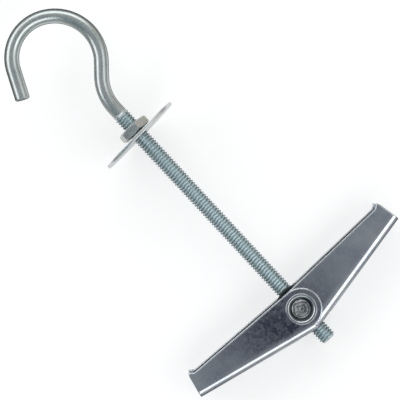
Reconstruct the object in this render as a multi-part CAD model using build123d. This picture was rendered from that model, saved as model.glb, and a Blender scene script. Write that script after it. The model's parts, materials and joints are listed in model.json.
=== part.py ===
from build123d import *
import math
import os

# Spring toggle bolt with a ceiling hook, in millimetres.
# The bolt frame has +X along the shank from the hook to the toggle, +Z along the toggle's pivot,
# and its origin on the shank axis, where the washer meets the ceiling. At the end every piece is
# laid down together, as the bolt comes to rest on its washer and its toggle.

# Hook bolt: one bent wire with a rolled metric thread, whose crests stand proud of the wire
THREAD_D = 6.0
WIRE_D = 5.3
THREAD_START_X = -11.2
TIP_X = 98.1
TIP_CHAMFER = 0.9
THREAD_RUNOUT = 0.4
END_CHAMFER = 0.5

# Hook, as tangent bends of the wire that follow each other from the thread to the open end
NECK_X = -13.8
NECK_R = 17.1
NECK_ANGLE = 41.6
LEG_LENGTH = 5.3
EYE_R = 16.5
EYE_ANGLE = 106.7
LIP_R = 14.8
LIP_ANGLE = 89.4
LIP_LENGTH = 11.0

# Thin hex nut and large washer, the washer loose and a little askew on the thread
NUT_SIDES = 6
NUT_FLATS = 10.8
NUT_HEIGHT = 3.3
NUT_TURN = 16.0
NUT_CHAMFER_ANGLE = 30.0
NUT_FACE_D = 10.2
NUT_BORE_CHAMFER = 0.35
WASHER_R = 16.0
WASHER_HOLE_R = 3.3
WASHER_T = 1.15
WASHER_EDGE_R = 0.25
WASHER_TILT = 3.2
WASHER_LEAN = 1.2
WASHER_PLAY = 0.34

# Clearances of the moving fits, each on the radius or on one side
THREAD_FIT = 0.05
PIN_FIT = 0.08
NEST_GAP = 0.15
SIDE_GAP = 0.15

# Toggle wings: two equal channels pressed from sheet, each with one outer and one inner ear
PIVOT_X = 83.1
SHEET = 1.1
EAR_R = 7.5
WEB_DISTANCE = 9.1
BEND_R = 2.0
WEDGE_ANGLE = 10.3
OPEN_LEAN = 11.8
WING_REACH = 46.0
BARB_HEIGHT = 1.3
BARB_LENGTH = 2.4
BARB_BACK = 0.3
EDGE_R = 0.25
NOTCH_REACH = 6.4
NOTCH_CORNER_R = 1.5
HEEL_GAP = 0.1
TOGGLE_SWING = -0.8

# Trunnion nut: a turned barrel whose ends are drilled and rolled over the wings' ears
BARREL_R = 5.6
STUB_R = 4.3
RIM_ROLL = 0.7
RIM_OVERLAP = 0.1
RECESS_FLOOR_R = 3.2
RECESS_FLOOR_Z = 5.2
RECESS_POINT_Z = 4.8

# Torsion spring: one turn about the barrel, crossing beside the shank, with an arm in each wing
SPRING_WIRE_D = 1.2
SPRING_CLEAR = 0.25
COIL_R = 7.8
BRIDGE_BEND_R = 1.0
ARM_REACH = 13.0
ARM_GAP = 0.08
ARM_ANGLE = 180.0
FULL_TURN = 360.0

# Worked out from the driving dimensions
THREAD_R = THREAD_D / 2
WIRE_R = WIRE_D / 2
BORE_R = THREAD_R + THREAD_FIT
SPRING_R = SPRING_WIRE_D / 2
COIL_Z = THREAD_R + SPRING_CLEAR + SPRING_R
INNER_EAR_IN = COIL_Z + SPRING_R + SIDE_GAP
INNER_EAR_OUT = INNER_EAR_IN + SHEET
OUTER_EAR_IN = INNER_EAR_OUT + NEST_GAP
OUTER_EAR_OUT = OUTER_EAR_IN + SHEET
BARREL_HALF = INNER_EAR_IN - SIDE_GAP
STUB_HALF = OUTER_EAR_OUT + THREAD_FIT
PIN_HOLE_R = STUB_R + PIN_FIT
RIM_CENTRE_R = STUB_R + RIM_ROLL - RIM_OVERLAP
ARM_DISTANCE = WEB_DISTANCE - SHEET - SPRING_R - ARM_GAP
COIL_SHIFT = (COIL_R - ARM_DISTANCE) / math.cos(math.radians(OPEN_LEAN))
NUT_SEAT_X = -WASHER_T - NUT_FLATS / 2 * math.tan(math.radians(WASHER_TILT)) - WASHER_PLAY
WIRE_START_X = THREAD_START_X - THREAD_RUNOUT
PIVOT = Location((PIVOT_X, 0, 0))


def hook_path():
    """Centre line of the wire from the thread's start to the hook's open end."""
    straight = Line((WIRE_START_X, 0), (NECK_X, 0))
    neck = JernArc(straight @ 1, straight % 1, NECK_R, -NECK_ANGLE)
    leg = Line(neck @ 1, neck @ 1 + (neck % 1) * LEG_LENGTH)
    eye = JernArc(leg @ 1, leg % 1, EYE_R, EYE_ANGLE)
    lip = JernArc(eye @ 1, eye % 1, LIP_R, LIP_ANGLE)
    end = Line(lip @ 1, lip @ 1 + (lip % 1) * LIP_LENGTH)
    return Wire([straight, neck, leg, eye, lip, end])


def make_hook_bolt():
    path = hook_path()
    start = Plane(origin=path @ 0, z_dir=path % 0)
    wire = sweep(start * Circle(WIRE_R), path=path)
    open_end = wire.faces().sort_by_distance(path @ 1)[0]
    wire = chamfer(open_end.edges(), END_CHAMFER)
    half_section = Polyline(
        (WIRE_START_X, 0),
        (WIRE_START_X, WIRE_R),
        (THREAD_START_X, THREAD_R),
        (TIP_X - TIP_CHAMFER, THREAD_R),
        (TIP_X, THREAD_R - TIP_CHAMFER),
        (TIP_X, 0),
        close=True,
    )
    shank = revolve(make_face(half_section), Axis.X)
    return wire + shank


def make_hex_nut():
    corner_r = NUT_FLATS / 2 / math.cos(math.pi / NUT_SIDES)
    bevel = (corner_r - NUT_FACE_D / 2) * math.tan(math.radians(NUT_CHAMFER_ANGLE))
    prism = extrude(RegularPolygon(corner_r, NUT_SIDES), NUT_HEIGHT)
    half_section = Plane.XZ * Polyline(
        (0, 0),
        (NUT_FACE_D / 2, 0),
        (corner_r, bevel),
        (corner_r, NUT_HEIGHT - bevel),
        (NUT_FACE_D / 2, NUT_HEIGHT),
        (0, NUT_HEIGHT),
        close=True,
    )
    nut = prism & revolve(make_face(half_section), Axis.Z)
    nut -= Cylinder(BORE_R, NUT_HEIGHT, align=(Align.CENTER, Align.CENTER, Align.MIN))
    nut = chamfer(nut.edges().filter_by(GeomType.CIRCLE).filter_by(is_bore_edge), NUT_BORE_CHAMFER)
    bearing = Plane(origin=(NUT_SEAT_X, 0, 0), x_dir=(0, -1, 0), z_dir=(-1, 0, 0))
    return bearing * Rot(0, 0, -NUT_TURN) * nut


def is_bore_edge(edge):
    return abs(edge.radius - BORE_R) < THREAD_FIT


def make_washer():
    disc = Cylinder(WASHER_R, WASHER_T) - Cylinder(WASHER_HOLE_R, WASHER_T)
    disc = fillet(disc.edges().filter_by(GeomType.CIRCLE), WASHER_EDGE_R)
    across = Location((-WASHER_T / 2, 0, 0), (0, 90, 0))
    return Rot(0, 0, WASHER_TILT) * Rot(0, WASHER_LEAN, 0) * across * disc


def make_trunnion_nut():
    """Barrel, stubs and rolled rims turned in one profile, then bored across for the thread."""
    rim_out = RIM_CENTRE_R + RIM_ROLL
    rim_in = RIM_CENTRE_R - RIM_ROLL
    upper = [
        Line((0, 0), (BARREL_R, 0)),
        Line((BARREL_R, 0), (BARREL_R, BARREL_HALF)),
        Line((BARREL_R, BARREL_HALF), (STUB_R, BARREL_HALF)),
        Line((STUB_R, BARREL_HALF), (STUB_R, STUB_HALF)),
        Line((STUB_R, STUB_HALF), (rim_out, STUB_HALF)),
        ThreePointArc((rim_out, STUB_HALF), (RIM_CENTRE_R, STUB_HALF + RIM_ROLL), (rim_in, STUB_HALF)),
        Line((rim_in, STUB_HALF), (RECESS_FLOOR_R, RECESS_FLOOR_Z)),
        Line((RECESS_FLOOR_R, RECESS_FLOOR_Z), (0, RECESS_POINT_Z)),
        Line((0, RECESS_POINT_Z), (0, 0)),
    ]
    half = revolve(make_face(Plane.XZ * Wire(upper)), Axis.Z)
    body = half + mirror(half, Plane.XY)
    bore = Rot(0, 90, 0) * Cylinder(BORE_R, 2 * EAR_R)
    return PIVOT * (body - bore)


def open_edge_at(p):
    """Height of a flange's open edge above the pivot, at a place along the web."""
    slope = math.radians(WEDGE_ANGLE)
    return p * math.tan(slope) - EAR_R / math.cos(slope)


def wing_outline():
    """A flange seen along the pivot: x runs along the web to the tip, y is square to the web."""
    slope = math.radians(WEDGE_ANGLE)
    lean = math.radians(OPEN_LEAN)
    tip_web = Vector(WING_REACH, WEB_DISTANCE)
    tip_open = Vector(WING_REACH, open_edge_at(WING_REACH))
    barb = Vector(WING_REACH - BARB_BACK, open_edge_at(WING_REACH) - BARB_HEIGHT)
    barb_root = Vector(WING_REACH - BARB_LENGTH, open_edge_at(WING_REACH - BARB_LENGTH))
    ear_start = Vector(EAR_R * math.sin(slope), -EAR_R * math.cos(slope))
    across = Vector(math.cos(lean), math.sin(lean)) * (HEEL_GAP / 2)
    along = Vector(-math.sin(lean), math.cos(lean))
    ear_end = across + along * math.sqrt(EAR_R**2 - (HEEL_GAP / 2) ** 2)
    heel = Vector((HEEL_GAP / 2 - WEB_DISTANCE * math.sin(lean)) / math.cos(lean), WEB_DISTANCE)
    return make_face(
        [
            Line(tip_web, tip_open),
            Line(tip_open, barb),
            Line(barb, barb_root),
            Line(barb_root, ear_start),
            ThreePointArc(ear_start, (-EAR_R, 0), ear_end),
            Line(ear_end, heel),
            Line(heel, tip_web),
        ]
    )


def make_wing():
    """One wing with its web along x, its pivot on z and its outer ear upwards."""
    width = INNER_EAR_OUT + OUTER_EAR_OUT
    blank = Pos(0, 0, -INNER_EAR_OUT) * extrude(wing_outline(), width)
    bends = blank.edges().filter_by(Axis.X).sort_by(Axis.Y)[-2:]
    blank = fillet(bends, BEND_R)
    outer_faces = blank.faces().filter_by(Axis.Z)
    rims = [e for f in outer_faces for e in f.edges() if (e @ 0.5).Y < WEB_DISTANCE - BEND_R - EDGE_R]
    blank = fillet(rims, EDGE_R)
    far = 2 * WING_REACH
    room_z = (OUTER_EAR_IN - INNER_EAR_IN) / 2
    room_width = INNER_EAR_IN + OUTER_EAR_IN
    room = Pos(0, WEB_DISTANCE - SHEET, room_z) * Box(
        far, far, room_width, align=(Align.CENTER, Align.MAX, Align.CENTER)
    )
    room = fillet(room.edges().filter_by(Axis.X).sort_by(Axis.Y)[-2:], BEND_R - SHEET)
    notch = Pos(NOTCH_REACH, 0, room_z) * Box(
        far, far, room_width, align=(Align.MAX, Align.MIN, Align.CENTER)
    )
    notch = fillet(notch.edges().filter_by(Axis.Y).sort_by(Axis.X)[-2:], NOTCH_CORNER_R)
    pin_hole = Cylinder(PIN_HOLE_R, 2 * width)
    return blank - room - notch - pin_hole


def place_wing(wing, side):
    """Hang a wing on the pivot: side is -1 for the left wing and 1 for the right one."""
    seat = Location(Plane(origin=(0, 0, 0), x_dir=(0, side, 0), z_dir=(0, 0, -side)))
    lean = Rot(0, 0, -OPEN_LEAN)
    return PIVOT * Rot(0, 0, TOGGLE_SWING) * seat * lean * wing


def coil_point(angle, z):
    """A point of the spring's coil; the angle starts at the hook side and grows to the right."""
    a = math.radians(angle)
    return Vector(-COIL_SHIFT - COIL_R * math.cos(a), COIL_R * math.sin(a), z)


def coil_heading(angle):
    a = math.radians(angle)
    return Vector(math.sin(a), math.cos(a), 0)


def coil_arc(start, end, z):
    return ThreePointArc(coil_point(start, z), coil_point((start + end) / 2, z), coil_point(end, z))


def make_torsion_spring():
    """Right arm and near turn, a bridge down beside the shank, then far turn and left arm."""
    half_bridge = math.degrees(math.atan(BRIDGE_BEND_R / COIL_R))
    bridge_y = THREAD_R + SPRING_CLEAR + SPRING_R
    bridge_radius = math.hypot(COIL_R, BRIDGE_BEND_R)
    bridge = FULL_TURN + math.degrees(math.asin(bridge_y / bridge_radius))
    near_start = ARM_ANGLE - OPEN_LEAN
    near_end = bridge - half_bridge
    far_start = bridge + half_bridge
    far_end = ARM_ANGLE + FULL_TURN + OPEN_LEAN
    down = Vector(0, 0, -1)
    near_point = coil_point(near_end, COIL_Z)
    far_point = coil_point(far_start, -COIL_Z)
    leg_top = near_point + (coil_heading(near_end) + down) * BRIDGE_BEND_R
    leg_foot = far_point - (coil_heading(far_start) + down) * BRIDGE_BEND_R
    turn_in = near_point + (coil_heading(near_end) - down) * BRIDGE_BEND_R * math.sqrt(0.5)
    turn_in += down * BRIDGE_BEND_R
    turn_out = far_point - (coil_heading(far_start) - down) * BRIDGE_BEND_R * math.sqrt(0.5)
    turn_out -= down * BRIDGE_BEND_R
    right_root = coil_point(near_start, COIL_Z)
    left_root = coil_point(far_end, -COIL_Z)
    path = Wire(
        [
            Line(right_root - coil_heading(near_start) * ARM_REACH, right_root),
            coil_arc(near_start, near_end, COIL_Z),
            ThreePointArc(near_point, turn_in, leg_top),
            Line(leg_top, leg_foot),
            ThreePointArc(leg_foot, turn_out, far_point),
            coil_arc(far_start, far_end, -COIL_Z),
            Line(left_root, left_root + coil_heading(far_end) * ARM_REACH),
        ]
    )
    section = Plane(origin=path @ 0, z_dir=path % 0) * Circle(SPRING_R)
    return PIVOT * Rot(0, 0, TOGGLE_SWING) * sweep(section, path=path)


def rest_tilt():
    """Angle that brings the washer's rim and the trunnion's lower rim onto one floor."""
    lean = math.radians(WASHER_LEAN)
    edge_x = -WASHER_EDGE_R * math.cos(lean) - (WASHER_R - WASHER_EDGE_R) * math.sin(lean)
    edge_z = WASHER_EDGE_R * math.sin(lean) - (WASHER_R - WASHER_EDGE_R) * math.cos(lean)
    length = PIVOT_X + RIM_CENTRE_R - edge_x
    drop = -STUB_HALF - edge_z
    lift = RIM_ROLL - WASHER_EDGE_R
    return math.degrees(math.atan2(drop, length) - math.asin(lift / math.hypot(length, drop)))


wing = make_wing()
pieces = {
    "hook_bolt": make_hook_bolt(),
    "hex_nut": make_hex_nut(),
    "washer": make_washer(),
    "trunnion_nut": make_trunnion_nut(),
    "torsion_spring": make_torsion_spring(),
    "left_wing": place_wing(wing, -1),
    "right_wing": place_wing(wing, 1),
}

# Lay the bolt down, then bring the middle of its footprint to the origin
tilt = Rot(0, rest_tilt(), 0)
extent = Compound([tilt * piece for piece in pieces.values()]).bounding_box()
lie_down = Location((-extent.center().X, -extent.center().Y, -extent.min.Z)) * tilt

os.makedirs("parts", exist_ok=True)
for name, piece in pieces.items():
    export_step(lie_down * piece, f"parts/{name}.step")
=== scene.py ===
import json
import math

import bmesh
import bpy
from mathutils import Matrix, Vector


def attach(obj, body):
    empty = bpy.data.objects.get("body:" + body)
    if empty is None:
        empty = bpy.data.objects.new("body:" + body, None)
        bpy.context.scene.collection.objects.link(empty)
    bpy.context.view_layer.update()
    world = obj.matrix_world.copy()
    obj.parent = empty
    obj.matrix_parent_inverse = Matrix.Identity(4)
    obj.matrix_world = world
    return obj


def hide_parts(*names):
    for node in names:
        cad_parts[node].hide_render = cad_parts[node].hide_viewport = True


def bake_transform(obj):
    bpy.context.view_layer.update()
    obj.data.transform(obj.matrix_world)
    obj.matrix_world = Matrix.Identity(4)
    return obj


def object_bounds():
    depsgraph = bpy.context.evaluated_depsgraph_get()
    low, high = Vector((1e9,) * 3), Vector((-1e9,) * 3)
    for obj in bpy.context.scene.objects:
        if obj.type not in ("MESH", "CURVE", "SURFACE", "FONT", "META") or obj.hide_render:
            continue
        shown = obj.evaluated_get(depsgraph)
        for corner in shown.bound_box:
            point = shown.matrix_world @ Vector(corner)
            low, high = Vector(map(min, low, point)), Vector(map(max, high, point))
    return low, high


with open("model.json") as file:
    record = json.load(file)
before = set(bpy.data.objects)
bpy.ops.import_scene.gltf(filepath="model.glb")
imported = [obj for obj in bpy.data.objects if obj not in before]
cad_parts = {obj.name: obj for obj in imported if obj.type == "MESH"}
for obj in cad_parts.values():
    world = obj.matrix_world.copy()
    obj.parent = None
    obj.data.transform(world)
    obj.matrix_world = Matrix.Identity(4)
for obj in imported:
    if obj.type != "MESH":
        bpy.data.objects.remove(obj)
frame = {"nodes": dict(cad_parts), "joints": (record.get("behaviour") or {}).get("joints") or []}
cad_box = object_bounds()


# Hook bolt: one length of steel wire, bent cold into the hook, with a thread rolled on its
# straight end and then zinc plated. The rolled crests stand proud of the wire and carry the rest.
MM = 0.001
WIRE_R = 2.65 * MM
CREST_R = 3.0 * MM
ROOT_R = 2.36 * MM
PITCH = 1.13 * MM
THREAD_START = -11.2 * MM
THREAD_RUNOUT = 1.7 * MM
ROOT_FLAT, CREST_FLAT = 0.12, 0.88
TIP = 98.1 * MM
TIP_CHAMFER = 0.9 * MM
WIRE_SIDES = 48
ROWS_PER_PITCH = 8
NECK_START = -13.8 * MM
NECK_R, NECK_TURN = 17.1 * MM, -41.6
LEG_LENGTH = 5.3 * MM
EYE_R, EYE_TURN = 16.5 * MM, 106.7
LIP_R, LIP_TURN = 14.8 * MM, 89.4
LIP_LENGTH = 11.0 * MM
SHEAR_CHAMFER = 0.5 * MM
SHEAR_CROWN = 0.06 * MM
BEND_STEP = 2.5
PIVOT_ALONG = 83.1 * MM
WELD = 0.001 * MM
PLATING_DEPTH = 0.02 * MM
CREASE = math.radians(38)

joints = {joint["name"]: joint for joint in frame["joints"]}
pivot = Vector(joints["right_wing_fold"]["pos_m"])
shank_axis = Vector(joints["washer_slide"]["axis"])
pin_axis = Vector(joints["right_wing_fold"]["axis"])
across_axis = pin_axis.cross(shank_axis)
turn_to_row = Matrix((shank_axis, across_axis, pin_axis)).transposed().to_4x4()
row_from_bolt = Matrix.Translation(pivot - shank_axis * PIVOT_ALONG) @ turn_to_row


def add(tree, kind, inputs=(), **options):
    """A new node with its options set, and each named input given a value or linked to a socket."""
    node = tree.nodes.new(kind)
    for option, value in options.items():
        setattr(node, option, value)
    for name, value in dict(inputs).items():
        if isinstance(value, bpy.types.NodeSocket):
            tree.links.new(value, node.inputs[name])
        else:
            node.inputs[name].default_value = value
    return node


def calc(tree, operation, *terms):
    """The output of a Math node on numbers and sockets."""
    return add(tree, "ShaderNodeMath", dict(enumerate(terms)), operation=operation).outputs[0]


def blend_value(tree, low, high, share):
    return calc(tree, "MULTIPLY_ADD", calc(tree, "SUBTRACT", high, low), share, low)


def dot(tree, first, second):
    return add(tree, "ShaderNodeVectorMath", {0: first, 1: second}, operation="DOT_PRODUCT").outputs[1]


def scaled(tree, vector, size):
    return add(tree, "ShaderNodeVectorMath", {0: vector, "Scale": size}, operation="SCALE").outputs[0]


def to_world(tree, vector):
    """A direction of the piece's own coordinates as the renderer's normals have it."""
    node = add(tree, "ShaderNodeVectorTransform", {0: vector}, vector_type="NORMAL")
    node.convert_from, node.convert_to = "OBJECT", "WORLD"
    return node.outputs[0]


def geometry_tree(name, inputs):
    """A geometry tree with one geometry through it and named inputs of the given socket kinds."""
    tree = bpy.data.node_groups.new(name, "GeometryNodeTree")
    tree.interface.new_socket("Geometry", in_out="INPUT", socket_type="NodeSocketGeometry")
    for label, kind in inputs.items():
        tree.interface.new_socket(label, in_out="INPUT", socket_type="NodeSocket" + kind)
    tree.interface.new_socket("Geometry", in_out="OUTPUT", socket_type="NodeSocketGeometry")
    return tree


def end_tree(tree, geometry, material):
    """Realize Instances and Set Material close every tree."""
    solid = add(tree, "GeometryNodeRealizeInstances", {"Geometry": geometry})
    dressed = add(tree, "GeometryNodeSetMaterial", {"Geometry": solid.outputs[0], "Material": material})
    add(tree, "NodeGroupOutput", {0: dressed.outputs[0]})


def wire_path(name, points, radii=None):
    """An open polyline as a curve object, with each point's share of the wire's radius."""
    line = bpy.data.curves.new(name, "CURVE")
    line.dimensions = "3D"
    spline = line.splines.new("POLY")
    spline.points.add(len(points) - 1)
    for index, (spot, point) in enumerate(zip(spline.points, points)):
        spot.co = (*point, 1)
        spot.radius = 1.0 if radii is None else radii[index]
    holder = bpy.data.objects.new(name, line)
    bpy.context.scene.collection.objects.link(holder)
    return holder


def grow(name, source, tree, values):
    """Runs a tree on a source object and keeps its result as a plain closed mesh piece."""
    modifier = source.modifiers.new(tree.name, "NODES")
    modifier.node_group = tree
    for item in tree.interface.items_tree:
        if item.in_out == "INPUT" and item.name in values:
            modifier[item.identifier] = values[item.name]
    evaluated = source.evaluated_get(bpy.context.evaluated_depsgraph_get())
    mesh = bpy.data.meshes.new_from_object(evaluated)
    source.modifiers.remove(modifier)
    bpy.data.objects.remove(source)
    mesh.name = name
    work = bmesh.new()
    work.from_mesh(mesh)
    bmesh.ops.remove_doubles(work, verts=work.verts, dist=WELD)
    bmesh.ops.recalc_face_normals(work, faces=work.faces)
    work.to_mesh(mesh)
    work.free()
    mesh.transform(row_from_bolt)
    mesh.shade_smooth()
    mesh.set_sharp_from_angle(angle=CREASE)
    piece = bpy.data.objects.new(name, mesh)
    bpy.context.scene.collection.objects.link(piece)
    return piece


def follow_bend(points, heading, radius, turn):
    """Adds an arc to a flat path, turning left for a positive angle, and gives the new heading."""
    side = math.copysign(1, turn)
    across = math.radians(heading + 90 * side)
    centre = points[-1] + Vector((math.cos(across), math.sin(across), 0)) * radius
    steps = math.ceil(abs(turn) / BEND_STEP)
    for step in range(1, steps + 1):
        out = math.radians(heading - 90 * side + turn * step / steps)
        points.append(centre + Vector((math.cos(out), math.sin(out), 0)) * radius)
    return heading + turn


def follow_line(points, heading, length):
    way = math.radians(heading)
    points.append(points[-1] + Vector((math.cos(way), math.sin(way), 0)) * length)


def shader_group(name, inputs, outputs):
    """A shader group with named inputs and outputs; gives the group and its input node."""
    group = bpy.data.node_groups.new(name, "ShaderNodeTree")
    for label, kind in inputs.items():
        group.interface.new_socket(label, in_out="INPUT", socket_type="NodeSocket" + kind)
    for label, kind in outputs.items():
        group.interface.new_socket(label, in_out="OUTPUT", socket_type="NodeSocket" + kind)
    return group, add(group, "NodeGroupInput").outputs


def make_plating_group():
    """Zinc plating: slow clouds of tone, fine crystal speckle, and the height of both."""
    group, given = shader_group(
        "zinc_plating",
        {"Cloud Scale": "Float", "Grain Scale": "Float", "Shift": "Vector"},
        {"Cloud": "Float", "Speckle": "Float", "Height": "Float"},
    )
    place = add(group, "ShaderNodeTexCoord").outputs["Object"]
    moved = add(group, "ShaderNodeVectorMath", {0: place, 1: given["Shift"]}, operation="ADD").outputs[0]
    cloud = add(group, "ShaderNodeTexNoise", {"Vector": moved, "Scale": given["Cloud Scale"], "Detail": 3.0})
    fine = {"Vector": moved, "Scale": given["Grain Scale"], "Detail": 4.0, "Roughness": 0.7}
    grain = add(group, "ShaderNodeTexNoise", fine)
    crystals = add(group, "ShaderNodeTexVoronoi", {"Vector": moved, "Scale": given["Grain Scale"]})
    facet = add(group, "ShaderNodeSeparateColor", {0: crystals.outputs["Color"]}).outputs[0]
    tone = {0: cloud.outputs[0], 1: 0.32, 2: 0.68}
    cloud_mask = add(group, "ShaderNodeMapRange", tone).outputs[0]
    speckle = blend_value(group, grain.outputs[0], facet, 0.45)
    speckle_mask = add(group, "ShaderNodeMapRange", {0: speckle, 1: 0.25, 2: 0.75}).outputs[0]
    add(group, "NodeGroupOutput", {0: cloud_mask, 1: speckle_mask, 2: grain.outputs[0]})
    return group


def make_edge_group():
    """Rubbed edges: the rounded normal of every corner, and a mask where that normal turns."""
    group, given = shader_group(
        "rubbed_edges", {"Width": "Float"}, {"Edge": "Float", "Normal": "Vector"}
    )
    rounded = add(group, "ShaderNodeBevel", {"Radius": given["Width"]}, samples=6).outputs[0]
    face = add(group, "ShaderNodeNewGeometry").outputs["Normal"]
    facing = dot(group, rounded, face)
    edge = add(group, "ShaderNodeMapRange", {0: facing, 1: 0.995, 2: 0.85}).outputs[0]
    add(group, "NodeGroupOutput", {0: edge, 1: rounded})
    return group


def make_scratch_group():
    """Hairline scratches from handling: short thin strokes in two directions."""
    group, given = shader_group("hair_scratches", {"Amount": "Float"}, {"Scratch": "Float"})
    place = add(group, "ShaderNodeTexCoord").outputs["Object"]
    strokes = []
    for angle, stretch in ((0.5, (70, 1700, 300)), (2.1, (1500, 90, 300))):
        turned = {0: place, "Rotation": (0, 0, angle), "Scale": stretch}
        laid = add(group, "ShaderNodeMapping", turned).outputs[0]
        cells = add(group, "ShaderNodeTexVoronoi", {"Vector": laid, "Scale": 1.0, "Randomness": 1.0})
        strokes.append(add(group, "ShaderNodeMapRange", {0: cells.outputs[0], 1: 0.09, 2: 0.03}).outputs[0])
    both = calc(group, "MULTIPLY", calc(group, "MAXIMUM", *strokes), given["Amount"])
    add(group, "NodeGroupOutput", {0: both})
    return group


plating = make_plating_group()
rubbed_edges = make_edge_group()
hair_scratches = make_scratch_group()


def plated(name, deep, pale, bright, clouds, grain, rough, bump, edge_width, scratch=0.6, tint=0.75):
    """A zinc plated finish; gives the material, its tree, its shader and the colour so far."""
    material = bpy.data.materials.new(name)
    material.use_nodes = True
    tree = material.node_tree
    tree.nodes.clear()
    shift = (len(bpy.data.materials) * 0.31, 0.17, 0.05)
    coat = add(tree, "ShaderNodeGroup", node_tree=plating)
    coat.inputs["Cloud Scale"].default_value = clouds
    coat.inputs["Grain Scale"].default_value = grain
    coat.inputs["Shift"].default_value = shift
    rub = add(tree, "ShaderNodeGroup", node_tree=rubbed_edges)
    rub.inputs["Width"].default_value = edge_width
    marks = add(tree, "ShaderNodeGroup", node_tree=hair_scratches)
    marks.inputs["Amount"].default_value = scratch
    base = mix_colour(tree, deep, pale, coat.outputs["Cloud"])
    speckled = mix_colour(tree, base, pale, calc(tree, "MULTIPLY", coat.outputs["Speckle"], 0.45))
    worn = calc(tree, "MAXIMUM", rub.outputs["Edge"], calc(tree, "MULTIPLY", marks.outputs[0], 0.5))
    colour = mix_colour(tree, speckled, bright, worn)
    matt = blend_value(tree, rough[0], rough[1], coat.outputs["Speckle"])
    matt = blend_value(tree, matt, rough[0], calc(tree, "MULTIPLY", rub.outputs["Edge"], 0.8))
    relief = {"Height": coat.outputs["Height"], "Normal": rub.outputs["Normal"]}
    relief |= {"Strength": bump, "Distance": PLATING_DEPTH}
    surface = {
        "Base Color": colour,
        "Metallic": 1.0,
        "Roughness": matt,
        "Specular Tint": (tint, tint, tint, 1),
        "Normal": add(tree, "ShaderNodeBump", relief).outputs[0],
    }
    shader = add(tree, "ShaderNodeBsdfPrincipled", surface)
    add(tree, "ShaderNodeOutputMaterial", {"Surface": shader.outputs[0]})
    return material, tree, shader, colour


def mix_colour(tree, first, second, share, blend_type="MIX"):
    """The colour output of a Mix node between two colours or sockets."""
    node = add(tree, "ShaderNodeMix", data_type="RGBA", blend_type=blend_type)
    for socket, value in ((node.inputs[0], share), (node.inputs[6], first), (node.inputs[7], second)):
        if isinstance(value, bpy.types.NodeSocket):
            tree.links.new(value, socket)
        elif isinstance(value, tuple):
            socket.default_value = (*value, 1)
        else:
            socket.default_value = value
    return node.outputs[2]


def make_bolt_finish():
    """Blue-green zinc with bright rolled crests, grooves painted darker as shade, and drawing lines along
    the wire.
    """
    material, tree, shader, colour = plated(
        "bolt_zinc",
        deep=(0.46, 0.505, 0.50),
        pale=(0.56, 0.60, 0.59),
        bright=(0.74, 0.80, 0.80),
        clouds=160,
        grain=1500,
        rough=(0.2, 0.3),
        bump=0.1,
        edge_width=0.12 * MM,
        tint=0.0,
    )
    threaded = add(tree, "ShaderNodeAttribute", attribute_name="threaded").outputs["Fac"]
    groove = add(tree, "ShaderNodeAttribute", attribute_name="groove").outputs["Fac"]
    around = add(tree, "ShaderNodeAttribute", attribute_name="around").outputs["Vector"]
    drawn = {"Vector": around, "Scale": 1400.0, "Detail": 2.0}
    lines = add(tree, "ShaderNodeTexNoise", drawn).outputs[0]
    streak = add(tree, "ShaderNodeMapRange", {0: lines, 1: 0.4, 2: 0.7, 3: 0.0, 4: 0.3}).outputs[0]
    colour = mix_colour(tree, colour, (0.40, 0.44, 0.44), streak)
    colour = mix_colour(tree, colour, (0.72, 0.83, 0.86), calc(tree, "MULTIPLY", threaded, 0.85))
    # Painted shade: the base colour darkens at the roots of the thread's grooves.
    colour = mix_colour(tree, colour, (0.34, 0.41, 0.43), calc(tree, "MULTIPLY", groove, 0.5))
    started = calc(tree, "MULTIPLY", threaded, calc(tree, "SUBTRACT", 1, threaded))
    colour = mix_colour(tree, colour, (0.86, 0.90, 0.90), calc(tree, "MULTIPLY", started, 1.6))
    tree.links.new(colour, shader.inputs["Base Color"])
    matt = blend_value(tree, shader.inputs["Roughness"].links[0].from_socket, 0.3, threaded)
    tree.links.new(matt, shader.inputs["Roughness"])
    return material


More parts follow.
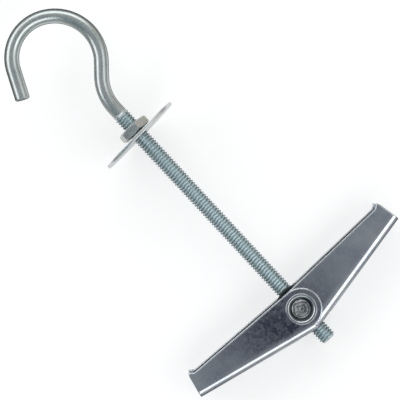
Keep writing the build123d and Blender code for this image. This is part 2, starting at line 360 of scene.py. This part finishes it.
def make_thread_tree(material):
    """A helical strip, one pitch wide, that winds from the run-out to the tip and is welded turn to
    turn, joined to the round wire that is swept along the hook's centre line."""
    sizes = ["Wire Radius", "Crest Radius", "Root Radius", "Pitch", "Start", "Runout", "Tip", "Chamfer"]
    counts = {"Sides": "Int", "Rows": "Int", "Turns": "Int"}
    tree = geometry_tree("rolled_thread", {**{size: "Float" for size in sizes}, **counts})
    given = add(tree, "NodeGroupInput").outputs
    spots = calc(tree, "MULTIPLY_ADD", given["Turns"], given["Sides"], 1)
    strip = add(tree, "GeometryNodeMeshGrid", {"Size X": 1.0, "Size Y": 1.0, "Vertices X": spots})
    tree.links.new(calc(tree, "ADD", given["Rows"], 1), strip.inputs["Vertices Y"])
    flat = add(tree, "ShaderNodeSeparateXYZ", {0: add(tree, "GeometryNodeInputPosition").outputs[0]})
    turn = calc(tree, "MULTIPLY", calc(tree, "ADD", flat.outputs[0], 0.5), given["Turns"])
    row = calc(tree, "ADD", flat.outputs[1], 0.5)
    wound = calc(tree, "SUBTRACT", calc(tree, "ADD", turn, row), 1)
    x = calc(tree, "MULTIPLY_ADD", wound, given["Pitch"], given["Start"])
    x = calc(tree, "MINIMUM", calc(tree, "MAXIMUM", x, given["Start"]), given["Tip"])
    slope = calc(tree, "ABSOLUTE", calc(tree, "MULTIPLY_ADD", row, 2, -1))
    crest = add(tree, "ShaderNodeMapRange", {0: slope, 1: ROOT_FLAT, 2: CREST_FLAT}).outputs[0]
    formed = calc(tree, "ADD", given["Start"], given["Runout"])
    fade_ends = {0: x, 1: given["Start"], 2: formed}
    fade = add(tree, "ShaderNodeMapRange", fade_ends, interpolation_type="SMOOTHSTEP").outputs[0]
    rolled = blend_value(tree, given["Root Radius"], given["Crest Radius"], crest)
    radius = blend_value(tree, given["Wire Radius"], rolled, fade)
    tip_r = calc(tree, "SUBTRACT", given["Crest Radius"], given["Chamfer"])
    bevel = calc(tree, "ADD", tip_r, calc(tree, "SUBTRACT", given["Tip"], x))
    radius = calc(tree, "MINIMUM", radius, bevel)
    angle = calc(tree, "MULTIPLY", turn, math.tau)
    spot = {0: x}
    spot[1] = calc(tree, "MULTIPLY", radius, calc(tree, "COSINE", angle))
    spot[2] = calc(tree, "MULTIPLY", radius, calc(tree, "SINE", angle))
    place = add(tree, "ShaderNodeCombineXYZ", spot).outputs[0]
    groove = calc(tree, "MULTIPLY", calc(tree, "SUBTRACT", 1, crest), fade)
    marked = store(tree, strip.outputs["Mesh"], "groove", "FLOAT", groove)
    marked = store(tree, marked, "threaded", "FLOAT", fade)
    thread = add(tree, "GeometryNodeSetPosition", {"Geometry": marked, "Position": place})
    ring = {"Vertices": given["Sides"], "Radius": tip_r}
    disc = add(tree, "GeometryNodeMeshCircle", ring, fill_type="NGON")
    seat = add(tree, "ShaderNodeCombineXYZ", {0: given["Tip"]}).outputs[0]
    upright = {"Geometry": disc.outputs[0], "Translation": seat, "Rotation": (0, math.pi / 2, 0)}
    end_face = add(tree, "GeometryNodeTransform", upright)
    wire = swept_wire(tree, given["Geometry"], given["Wire Radius"], given["Sides"])
    parts = add(tree, "GeometryNodeJoinGeometry")
    for part in (wire, thread.outputs[0], end_face.outputs[0]):
        tree.links.new(part, parts.inputs[0])
    welded = add(tree, "GeometryNodeMergeByDistance", {"Geometry": parts.outputs[0], "Distance": WELD})
    end_tree(tree, welded.outputs[0], material)
    return tree


def store(tree, geometry, name, data_type, value):
    inputs = {"Geometry": geometry, "Name": name, "Value": value}
    return add(tree, "GeometryNodeStoreNamedAttribute", inputs, data_type=data_type).outputs[0]


def swept_wire(tree, path, radius, sides):
    """Round wire along a path, with its place around the section kept for the finish."""
    level = add(tree, "GeometryNodeSetCurveNormal", {"Curve": path}, mode="Z_UP").outputs[0]
    circle = add(tree, "GeometryNodeCurvePrimitiveCircle", {"Resolution": sides, "Radius": radius})
    place = add(tree, "GeometryNodeInputPosition").outputs[0]
    section = store(tree, circle.outputs[0], "around", "FLOAT_VECTOR", place)
    tube = add(tree, "GeometryNodeCurveToMesh", {"Curve": level, "Profile Curve": section})
    if "Scale" in tube.inputs:
        tree.links.new(add(tree, "GeometryNodeInputRadius").outputs[0], tube.inputs["Scale"])
    return tube.outputs[0]


hook_line = [Vector((THREAD_START, 0, 0)), Vector((NECK_START, 0, 0))]
heading = follow_bend(hook_line, 180, NECK_R, NECK_TURN)
follow_line(hook_line, heading, LEG_LENGTH)
heading = follow_bend(hook_line, heading, EYE_R, EYE_TURN)
heading = follow_bend(hook_line, heading, LIP_R, LIP_TURN)
follow_line(hook_line, heading, LIP_LENGTH - SHEAR_CHAMFER)
follow_line(hook_line, heading, SHEAR_CHAMFER)
follow_line(hook_line, heading, SHEAR_CROWN)
fullness = [1.0] * (len(hook_line) - 2) + [1 - SHEAR_CHAMFER / WIRE_R, 0.0]

bolt_sizes = {
    "Wire Radius": WIRE_R,
    "Crest Radius": CREST_R,
    "Root Radius": ROOT_R,
    "Pitch": PITCH,
    "Start": THREAD_START,
    "Runout": THREAD_RUNOUT,
    "Tip": TIP,
    "Chamfer": TIP_CHAMFER,
    "Sides": WIRE_SIDES,
    "Rows": ROWS_PER_PITCH,
    "Turns": math.ceil((TIP - THREAD_START) / PITCH) + 1,
}
bolt_tree = make_thread_tree(make_bolt_finish())
hook_bolt = grow("hook_bolt_rolled", wire_path("hook_line", hook_line, fullness), bolt_tree, bolt_sizes)
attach(hook_bolt, "hook_bolt")
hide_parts("hook_bolt")


# Hex nut: a thin cold-formed nut, plated a little duller than the bolt, with rubbed corners.
nut_finish = plated(
    "nut_zinc",
    deep=(0.51, 0.52, 0.505),
    pale=(0.68, 0.69, 0.665),
    bright=(0.88, 0.89, 0.86),
    clouds=220,
    grain=1800,
    rough=(0.24, 0.34),
    bump=0.2,
    edge_width=0.15 * MM,
)[0]


def dress(node, material):
    """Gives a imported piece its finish, which stays where the frame has it."""
    piece = frame["nodes"][node]
    piece.data.materials.clear()
    piece.data.materials.append(material)
    return piece


dress("hex_nut", nut_finish)


# Washer: a large round blank punched from bright zinc-plated strip, its rims tumbled smooth.
washer_finish = plated(
    "washer_zinc",
    deep=(0.62, 0.65, 0.65),
    pale=(0.74, 0.76, 0.76),
    bright=(0.84, 0.86, 0.86),
    clouds=90,
    grain=1300,
    rough=(0.26, 0.38),
    bump=0.15,
    edge_width=0.1 * MM,
)[0]
dress("washer", washer_finish)


# Trunnion nut: turned from bar, bored across for the thread, and drilled at both ends, whose thin
# rims are rolled over the wings' ears. The roller leaves the rims bright and the floor rough.
RECESS_R = 3.2 * MM
RECESS_EDGE = 0.15 * MM
TORN_DEPTH = 0.12 * MM
CREST_CENTRE = 5.0 * MM
CREST_HALF = 0.36 * MM
CREST_EDGE = 0.12 * MM
# The dark ring round the foot of the recess's wall is painted shade, not a mark on the metal.
CORNER_CENTRE = 3.6 * MM
CORNER_HALF = 0.5 * MM
CORNER_CORE = 0.1 * MM
CORNER_SHADE_SHARE = 0.75


def make_trunnion_finish():
    material, tree, shader, colour = plated(
        "trunnion_zinc",
        deep=(0.52, 0.57, 0.59),
        pale=(0.64, 0.68, 0.70),
        bright=(0.80, 0.84, 0.84),
        clouds=260,
        grain=1500,
        rough=(0.09, 0.15),
        bump=0.08,
        edge_width=0.05 * MM,
    )
    place = add(tree, "ShaderNodeTexCoord").outputs["Object"]
    off = add(tree, "ShaderNodeVectorMath", {0: place, 1: tuple(pivot)}, operation="SUBTRACT").outputs[0]
    spots = {0: dot(tree, off, tuple(shank_axis)), 1: dot(tree, off, tuple(across_axis))}
    flat = add(tree, "ShaderNodeCombineXYZ", spots).outputs[0]
    reach = add(tree, "ShaderNodeVectorMath", {0: flat}, operation="LENGTH").outputs[1]
    inside = add(tree, "ShaderNodeMapRange", {0: reach, 1: RECESS_R, 2: RECESS_R - RECESS_EDGE}).outputs[0]
    swirl = {"Vector": flat, "Scale": 230.0, "Distortion": 5.0, "Detail": 3.0, "Detail Scale": 2.2}
    rings = {"wave_type": "RINGS", "rings_direction": "SPHERICAL"}
    torn = add(tree, "ShaderNodeTexWave", swirl, **rings).outputs["Fac"]
    patchy = add(tree, "ShaderNodeTexNoise", {"Vector": flat, "Scale": 420.0, "Detail": 3.0}).outputs[0]
    patchy = add(tree, "ShaderNodeMapRange", {0: patchy, 1: 0.35, 2: 0.65}).outputs[0]
    rough_floor = mix_colour(tree, (0.035, 0.038, 0.045), (0.20, 0.215, 0.22), torn)
    rough_floor = mix_colour(tree, rough_floor, (0.38, 0.395, 0.40), calc(tree, "MULTIPLY", patchy, 0.6))
    colour = mix_colour(tree, colour, rough_floor, inside)
    # Painted shade: the base colour darkens in a ring at the recess's corner, where the wall shades the
    # floor.
    corner = calc(tree, "ABSOLUTE", calc(tree, "SUBTRACT", reach, CORNER_CENTRE))
    core = {0: corner, 1: CORNER_HALF, 2: CORNER_CORE, 4: CORNER_SHADE_SHARE}
    corner = add(tree, "ShaderNodeMapRange", core).outputs[0]
    colour = mix_colour(tree, colour, (0.05, 0.055, 0.06), corner)
    relief = shader.inputs["Normal"].links[0].from_node
    side = calc(tree, "SIGN", dot(tree, off, tuple(pin_axis)))
    upward = to_world(tree, scaled(tree, tuple(pin_axis), side))
    crest = calc(tree, "ABSOLUTE", calc(tree, "SUBTRACT", reach, CREST_CENTRE))
    flat_top = {0: crest, 1: CREST_HALF, 2: CREST_HALF - CREST_EDGE}
    crest = add(tree, "ShaderNodeMapRange", flat_top).outputs[0]
    tree.links.new(colour, shader.inputs["Base Color"])
    rolled_flat = add(tree, "ShaderNodeMix", data_type="VECTOR")
    tree.links.new(crest, rolled_flat.inputs[0])
    tree.links.new(relief.inputs["Normal"].links[0].from_socket, rolled_flat.inputs[4])
    tree.links.new(upward, rolled_flat.inputs[5])
    tree.links.new(rolled_flat.outputs[1], relief.inputs["Normal"])
    torn_height = blend_value(tree, relief.inputs["Height"].links[0].from_socket, torn, inside)
    tree.links.new(torn_height, relief.inputs["Height"])
    tree.links.new(blend_value(tree, 0.08, 0.9, inside), relief.inputs["Strength"])
    relief.inputs["Distance"].default_value = TORN_DEPTH
    matt = blend_value(tree, shader.inputs["Roughness"].links[0].from_socket, 0.3, inside)
    tree.links.new(matt, shader.inputs["Roughness"])
    return material


dress("trunnion_nut", make_trunnion_finish())


# Wings: two like channels pressed from thin plated strip, with burnished bends and sheared edges
# that stay bright, and the dark, finely spangled faces of passivated zinc.
WEB_OUTSIDE = 9.1 * MM
WEB_LEAN = 11.8
CROWN_START = 4.3 * MM
CROWN_PEAK = 2.0 * MM
CROWN_END = 1.3 * MM
CROWN_TILTS = {"left": 0.03, "right": 0.1}
TOGGLE_SWING = -0.8


def make_wing_finish(name, side):
    """A slight crown of each flange beside the bend, fitted to the sheen that is seen there."""
    material, tree, shader, _ = plated(
        name + "_wing_zinc",
        deep=(0.46, 0.49, 0.56),
        pale=(0.66, 0.69, 0.72),
        bright=(0.86, 0.90, 0.92),
        clouds=110,
        grain=1100,
        rough=(0.05, 0.1),
        bump=0.09,
        edge_width=0.8 * MM,
        scratch=0.7,
        tint=0.0,
    )
    lean = math.radians(WEB_LEAN * side + TOGGLE_SWING)
    outward = tuple(shank_axis * math.cos(lean) + across_axis * math.sin(lean))
    place = add(tree, "ShaderNodeTexCoord").outputs["Object"]
    off = add(tree, "ShaderNodeVectorMath", {0: place, 1: tuple(pivot)}, operation="SUBTRACT").outputs[0]
    inset = calc(tree, "SUBTRACT", WEB_OUTSIDE, dot(tree, off, outward))
    rise = add(tree, "ShaderNodeMapRange", {0: inset, 1: CROWN_START, 2: CROWN_PEAK}).outputs[0]
    fall = add(tree, "ShaderNodeMapRange", {0: inset, 1: CROWN_END, 2: CROWN_PEAK}).outputs[0]
    crown = calc(tree, "MULTIPLY", calc(tree, "MULTIPLY", rise, rise), fall)
    lifted = scaled(tree, to_world(tree, outward), calc(tree, "MULTIPLY", crown, CROWN_TILTS[name]))
    relief = shader.inputs["Normal"].links[0].from_node
    curved = {0: relief.inputs["Normal"].links[0].from_socket, 1: lifted}
    curved = add(tree, "ShaderNodeVectorMath", curved, operation="ADD").outputs[0]
    curved = add(tree, "ShaderNodeVectorMath", {0: curved}, operation="NORMALIZE").outputs[0]
    tree.links.new(curved, relief.inputs["Normal"])
    return material


for name, side in (("left", -1), ("right", 1)):
    dress(name + "_wing", make_wing_finish(name, side))


# Torsion spring: one length of black oil-hardened wire wound a turn about the barrel, with an arm
# along the inside of each wing's web. It is made as two halves, each with one arm.
SPRING_R = 0.6 * MM
SPRING_SIDES = 20
COIL_R = 7.8 * MM
COIL_Z = 3.85 * MM
ARM_REACH = 13.0 * MM
BRIDGE_BEND_R = 1.0 * MM
WEB_INSIDE = 7.32 * MM
COIL_SHIFT = (COIL_R - WEB_INSIDE) / math.cos(math.radians(WEB_LEAN))
BRIDGE_Y = 3.85 * MM
COIL_STEP = 4.0
ARM_STEPS = 12
BRIDGE_STEPS = 6
ARM_TIP = 0.05 * MM
ARM_TIP_SHARE = 0.85


def make_spring_steel():
    material = bpy.data.materials.new("spring_steel")
    material.use_nodes = True
    tree = material.node_tree
    tree.nodes.clear()
    coat = add(tree, "ShaderNodeGroup", node_tree=plating)
    coat.inputs["Cloud Scale"].default_value = 300
    coat.inputs["Grain Scale"].default_value = 2500
    surface = {
        "Base Color": mix_colour(tree, (0.004, 0.004, 0.005), (0.012, 0.012, 0.013), coat.outputs["Cloud"]),
        "Metallic": 0.2,
        "Roughness": blend_value(tree, 0.32, 0.5, coat.outputs["Speckle"]),
    }
    shader = add(tree, "ShaderNodeBsdfPrincipled", surface)
    add(tree, "ShaderNodeOutputMaterial", {"Surface": shader.outputs[0]})
    return material


def make_spring_tree(material):
    tree = geometry_tree("round_wire", {"Radius": "Float", "Sides": "Int"})
    given = add(tree, "NodeGroupInput").outputs
    end_tree(tree, swept_wire(tree, given["Geometry"], given["Radius"], given["Sides"]), material)
    return tree


def coil_point(angle, z):
    turn = math.radians(angle)
    return Vector((-COIL_SHIFT - COIL_R * math.cos(turn), COIL_R * math.sin(turn), z))


def coil_heading(angle):
    turn = math.radians(angle)
    return Vector((math.sin(turn), math.cos(turn), 0))


def half_spring(side):
    """Centre line from the arm's tip round the coil and halfway down the bridge, side 1 or -1 for
    the near or the far half; the far half is the near one turned over the shank's other side."""
    radius = math.hypot(COIL_R, BRIDGE_BEND_R)
    bridge = 360 + math.degrees(math.asin(BRIDGE_Y / radius))
    half = math.degrees(math.atan(BRIDGE_BEND_R / COIL_R))
    if side > 0:
        first, last = 180 - WEB_LEAN, bridge - half
    else:
        first, last = 540 + WEB_LEAN, bridge + half
    z = COIL_Z * side
    root = coil_point(first, z)
    outward = coil_heading(first) * side
    points = [root - outward * (ARM_REACH * step / ARM_STEPS) for step in range(ARM_STEPS, 0, -1)]
    count = math.ceil(abs(last - first) / COIL_STEP)
    points += [coil_point(first + (last - first) * step / count, z) for step in range(count + 1)]
    ahead = coil_heading(last) * side
    down = Vector((0, 0, -side))
    centre = points[-1] + down * BRIDGE_BEND_R
    for step in range(1, BRIDGE_STEPS + 1):
        turn = math.radians(90 * step / BRIDGE_STEPS)
        points.append(centre + (ahead * math.sin(turn) - down * math.cos(turn)) * BRIDGE_BEND_R)
    points += [points[-1] + down * (COIL_Z - BRIDGE_BEND_R)]
    swing = Matrix.Translation((PIVOT_ALONG, 0, 0)) @ Matrix.Rotation(math.radians(TOGGLE_SWING), 4, "Z")
    return [swing @ point for point in points]


spring_tree = make_spring_tree(make_spring_steel())
for name, side, wing in (("spring_near_half", 1, "right_wing"), ("spring_far_half", -1, "left_wing")):
    line = half_spring(side)
    radii = [0.0, ARM_TIP_SHARE] + [1.0] * (len(line) - 1)
    line.insert(0, line[0] + (line[0] - line[1]).normalized() * ARM_TIP)
    sizes = {"Radius": SPRING_R, "Sides": SPRING_SIDES}
    half = grow(name, wire_path(name + "_line", line, radii), spring_tree, sizes)
    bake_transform(half)
    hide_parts("torsion_spring")


# Floor: a square white card under the bolt on a pale grey table. The card takes the bolt's shadow,
# and the wide table is what the thin dark outlines of the metal mirror.
FLOOR_R = 3.0
FLOOR_GAP = 0.02 * MM
CARD_HALF = 76 * MM
TABLE_HALF = 84 * MM
CARD_GLOW = 0.6
VIEW_TURN = -47.11
VIEW_CENTRE = 30.8 * MM
CARD_LIT, CARD_SEEN = (0.82, 0.82, 0.82), (0.46, 0.46, 0.46)
TABLE_GREY = (0.30, 0.30, 0.31)

floor_mesh = bpy.data.meshes.new("floor")
work = bmesh.new()
bmesh.ops.create_circle(work, cap_ends=True, segments=96, radius=FLOOR_R)
bmesh.ops.translate(work, verts=work.verts, vec=(0, 0, cad_box[0].z - FLOOR_GAP))
work.to_mesh(floor_mesh)
work.free()
floor = bpy.data.objects.new("floor", floor_mesh)
bpy.context.scene.collection.objects.link(floor)
floor_paint = bpy.data.materials.new("pale_floor")
floor_paint.use_nodes = True
paint = floor_paint.node_tree
paint.nodes.clear()
card_centre = row_from_bolt @ Vector((VIEW_CENTRE, 0, 0))
spread = add(paint, "ShaderNodeTexCoord").outputs["Object"]
laid = {0: spread, "Location": (-card_centre.x, -card_centre.y, 0)}
laid = add(paint, "ShaderNodeMapping", laid).outputs[0]
turned = add(paint, "ShaderNodeMapping", {0: laid, "Rotation": (0, 0, math.radians(VIEW_TURN))}).outputs[0]
sides = add(paint, "ShaderNodeSeparateXYZ", {0: turned}).outputs
reach = calc(paint, "MAXIMUM", calc(paint, "ABSOLUTE", sides[0]), calc(paint, "ABSOLUTE", sides[1]))
beyond = add(paint, "ShaderNodeMapRange", {0: reach, 1: CARD_HALF, 2: TABLE_HALF}).outputs[0]
rays = add(paint, "ShaderNodeLightPath").outputs
seen = calc(paint, "ADD", rays["Is Camera Ray"], rays["Is Glossy Ray"])
seen = calc(paint, "MINIMUM", calc(paint, "ADD", seen, rays["Is Transmission Ray"]), 1)
near = calc(paint, "MULTIPLY", calc(paint, "SUBTRACT", 1, beyond), CARD_GLOW)
glow = {"Color": (1, 1, 1, 1), "Strength": calc(paint, "MULTIPLY", seen, near)}
card = mix_colour(paint, CARD_LIT, CARD_SEEN, seen)
cover = mix_colour(paint, card, TABLE_GREY, beyond)
lit = add(paint, "ShaderNodeBsdfDiffuse", {"Color": cover})
both = add(paint, "ShaderNodeAddShader", {0: lit.outputs[0]})
paint.links.new(add(paint, "ShaderNodeEmission", glow).outputs[0], both.inputs[1])
add(paint, "ShaderNodeOutputMaterial", {"Surface": both.outputs[0]})
floor_mesh.materials.append(floor_paint)


# Studio light: a dim tent, darkest straight overhead where the camera hangs, and soft boxes round
# the bolt. Each box is given by its direction in the bolt's frame, its size and its brightness.
SKY_STEPS = (
    (0.0, (0.035, 0.038, 0.06)),
    (0.009, (0.038, 0.042, 0.064)),
    (0.013, (0.08, 0.085, 0.115)),
    (0.0167, (0.125, 0.135, 0.165)),
    (0.02, (0.18, 0.195, 0.22)),
    (0.0247, (0.23, 0.25, 0.27)),
    (0.033, (0.275, 0.295, 0.315)),
    (0.05, (0.29, 0.31, 0.33)),
    (0.13, (0.38, 0.39, 0.41)),
    (0.24, (0.50, 0.52, 0.53)),
    (0.8, (0.50, 0.52, 0.52)),
    (0.94, (0.38, 0.40, 0.40)),
    (1.0, (0.35, 0.36, 0.36)),
)
SKY_REACH = 1.5
SKY_PATCHES = (
    ((275, 45), (0.30, 0.62), (0.22, 0.28, 0.32)),
    ((92, 86), (0.20, 0.62), (0.72, 0.69, 0.63)),
)
BOX_DISTANCE = 900 * MM
SOFT_BOXES = {
    "hook_side_box": (142, 60, 56, 32, 1.45),
    "rear_side_box": (214, 60, 62, 32, 1.3),
    "toggle_side_box": (352, 33, 55, 28, 1.55),
    "wing_side_box": (52, 42, 40, 26, 0.75),
}


def aimed(round_angle, down_angle):
    """The turn from straight up to a direction, given round the bolt's view and down from it."""
    around = Matrix.Rotation(math.radians(round_angle), 4, "Z")
    return around @ Matrix.Rotation(math.radians(down_angle), 4, "Y")


world = bpy.data.worlds.new("studio_tent")
bpy.context.scene.world = world
world.use_nodes = True
sky = world.node_tree
sky.nodes.clear()
overhead = row_from_bolt.to_3x3() @ Vector((0.085, -0.014, 1)).normalized()
way = add(sky, "ShaderNodeTexCoord").outputs["Generated"]
apart = add(sky, "ShaderNodeVectorMath", {0: way, 1: tuple(overhead)}, operation="DISTANCE").outputs[1]
tent = add(sky, "ShaderNodeValToRGB", {0: calc(sky, "DIVIDE", apart, SKY_REACH)})
for index, (level, tone) in enumerate(SKY_STEPS):
    if index < 2:
        stop = tent.color_ramp.elements[index]
        stop.position = level
    else:
        stop = tent.color_ramp.elements.new(level)
    stop.color = (*tone, 1)
tone = tent.outputs[0]
for (round_angle, down_angle), (full, gone), patch in SKY_PATCHES:
    centre = row_from_bolt.to_3x3() @ aimed(round_angle, down_angle).to_3x3() @ Vector((0, 0, 1))
    off = add(sky, "ShaderNodeVectorMath", {0: way, 1: tuple(centre)}, operation="DISTANCE").outputs[1]
    share = add(sky, "ShaderNodeMapRange", {0: off, 1: gone, 2: full}, interpolation_type="SMOOTHSTEP")
    tone = mix_colour(sky, tone, patch, share.outputs[0])
air = add(sky, "ShaderNodeBackground", {"Color": tone, "Strength": 1.0})
add(sky, "ShaderNodeOutputWorld", {0: air.outputs[0]})

for name, (round_angle, down_angle, wide, tall, brightness) in SOFT_BOXES.items():
    lamp = bpy.data.lights.new(name, "AREA")
    lamp.shape = "RECTANGLE"
    lamp.size = 2 * BOX_DISTANCE * math.tan(math.radians(wide / 2))
    lamp.size_y = 2 * BOX_DISTANCE * math.tan(math.radians(tall / 2))
    lamp.energy = brightness * math.pi * lamp.size * lamp.size_y
    box = bpy.data.objects.new(name, lamp)
    bpy.context.scene.collection.objects.link(box)
    aim = aimed(round_angle, down_angle) @ Matrix.Translation((0, 0, BOX_DISTANCE))
    aim = aim @ Matrix.Rotation(math.radians(90), 4, "Z")
    middle = Matrix.Translation((PIVOT_ALONG / 4, 0, 0))
    box.matrix_world = row_from_bolt @ middle @ aim
    box.visible_camera = False


# Camera: straight down the trunnion's axis, with the shank running from upper left to lower right.
VIEW_DISTANCE = 610 * MM
LENS = 154.6
SENSOR_WIDTH = 36
VIEW_REACH = 20
SHANK_ANGLE = math.radians(VIEW_TURN)

camera_data = bpy.data.cameras.new("camera")
camera_data.lens = LENS
camera_data.sensor_width = SENSOR_WIDTH
camera_data.clip_end = VIEW_REACH
camera = bpy.data.objects.new("camera", camera_data)
bpy.context.scene.collection.objects.link(camera)
place = Matrix.Translation((VIEW_CENTRE, 0, VIEW_DISTANCE)) @ Matrix.Rotation(-SHANK_ANGLE, 4, "Z")
camera.matrix_world = row_from_bolt @ place
bpy.context.scene.camera = camera
bpy.context.scene.view_settings.view_transform = "Standard"
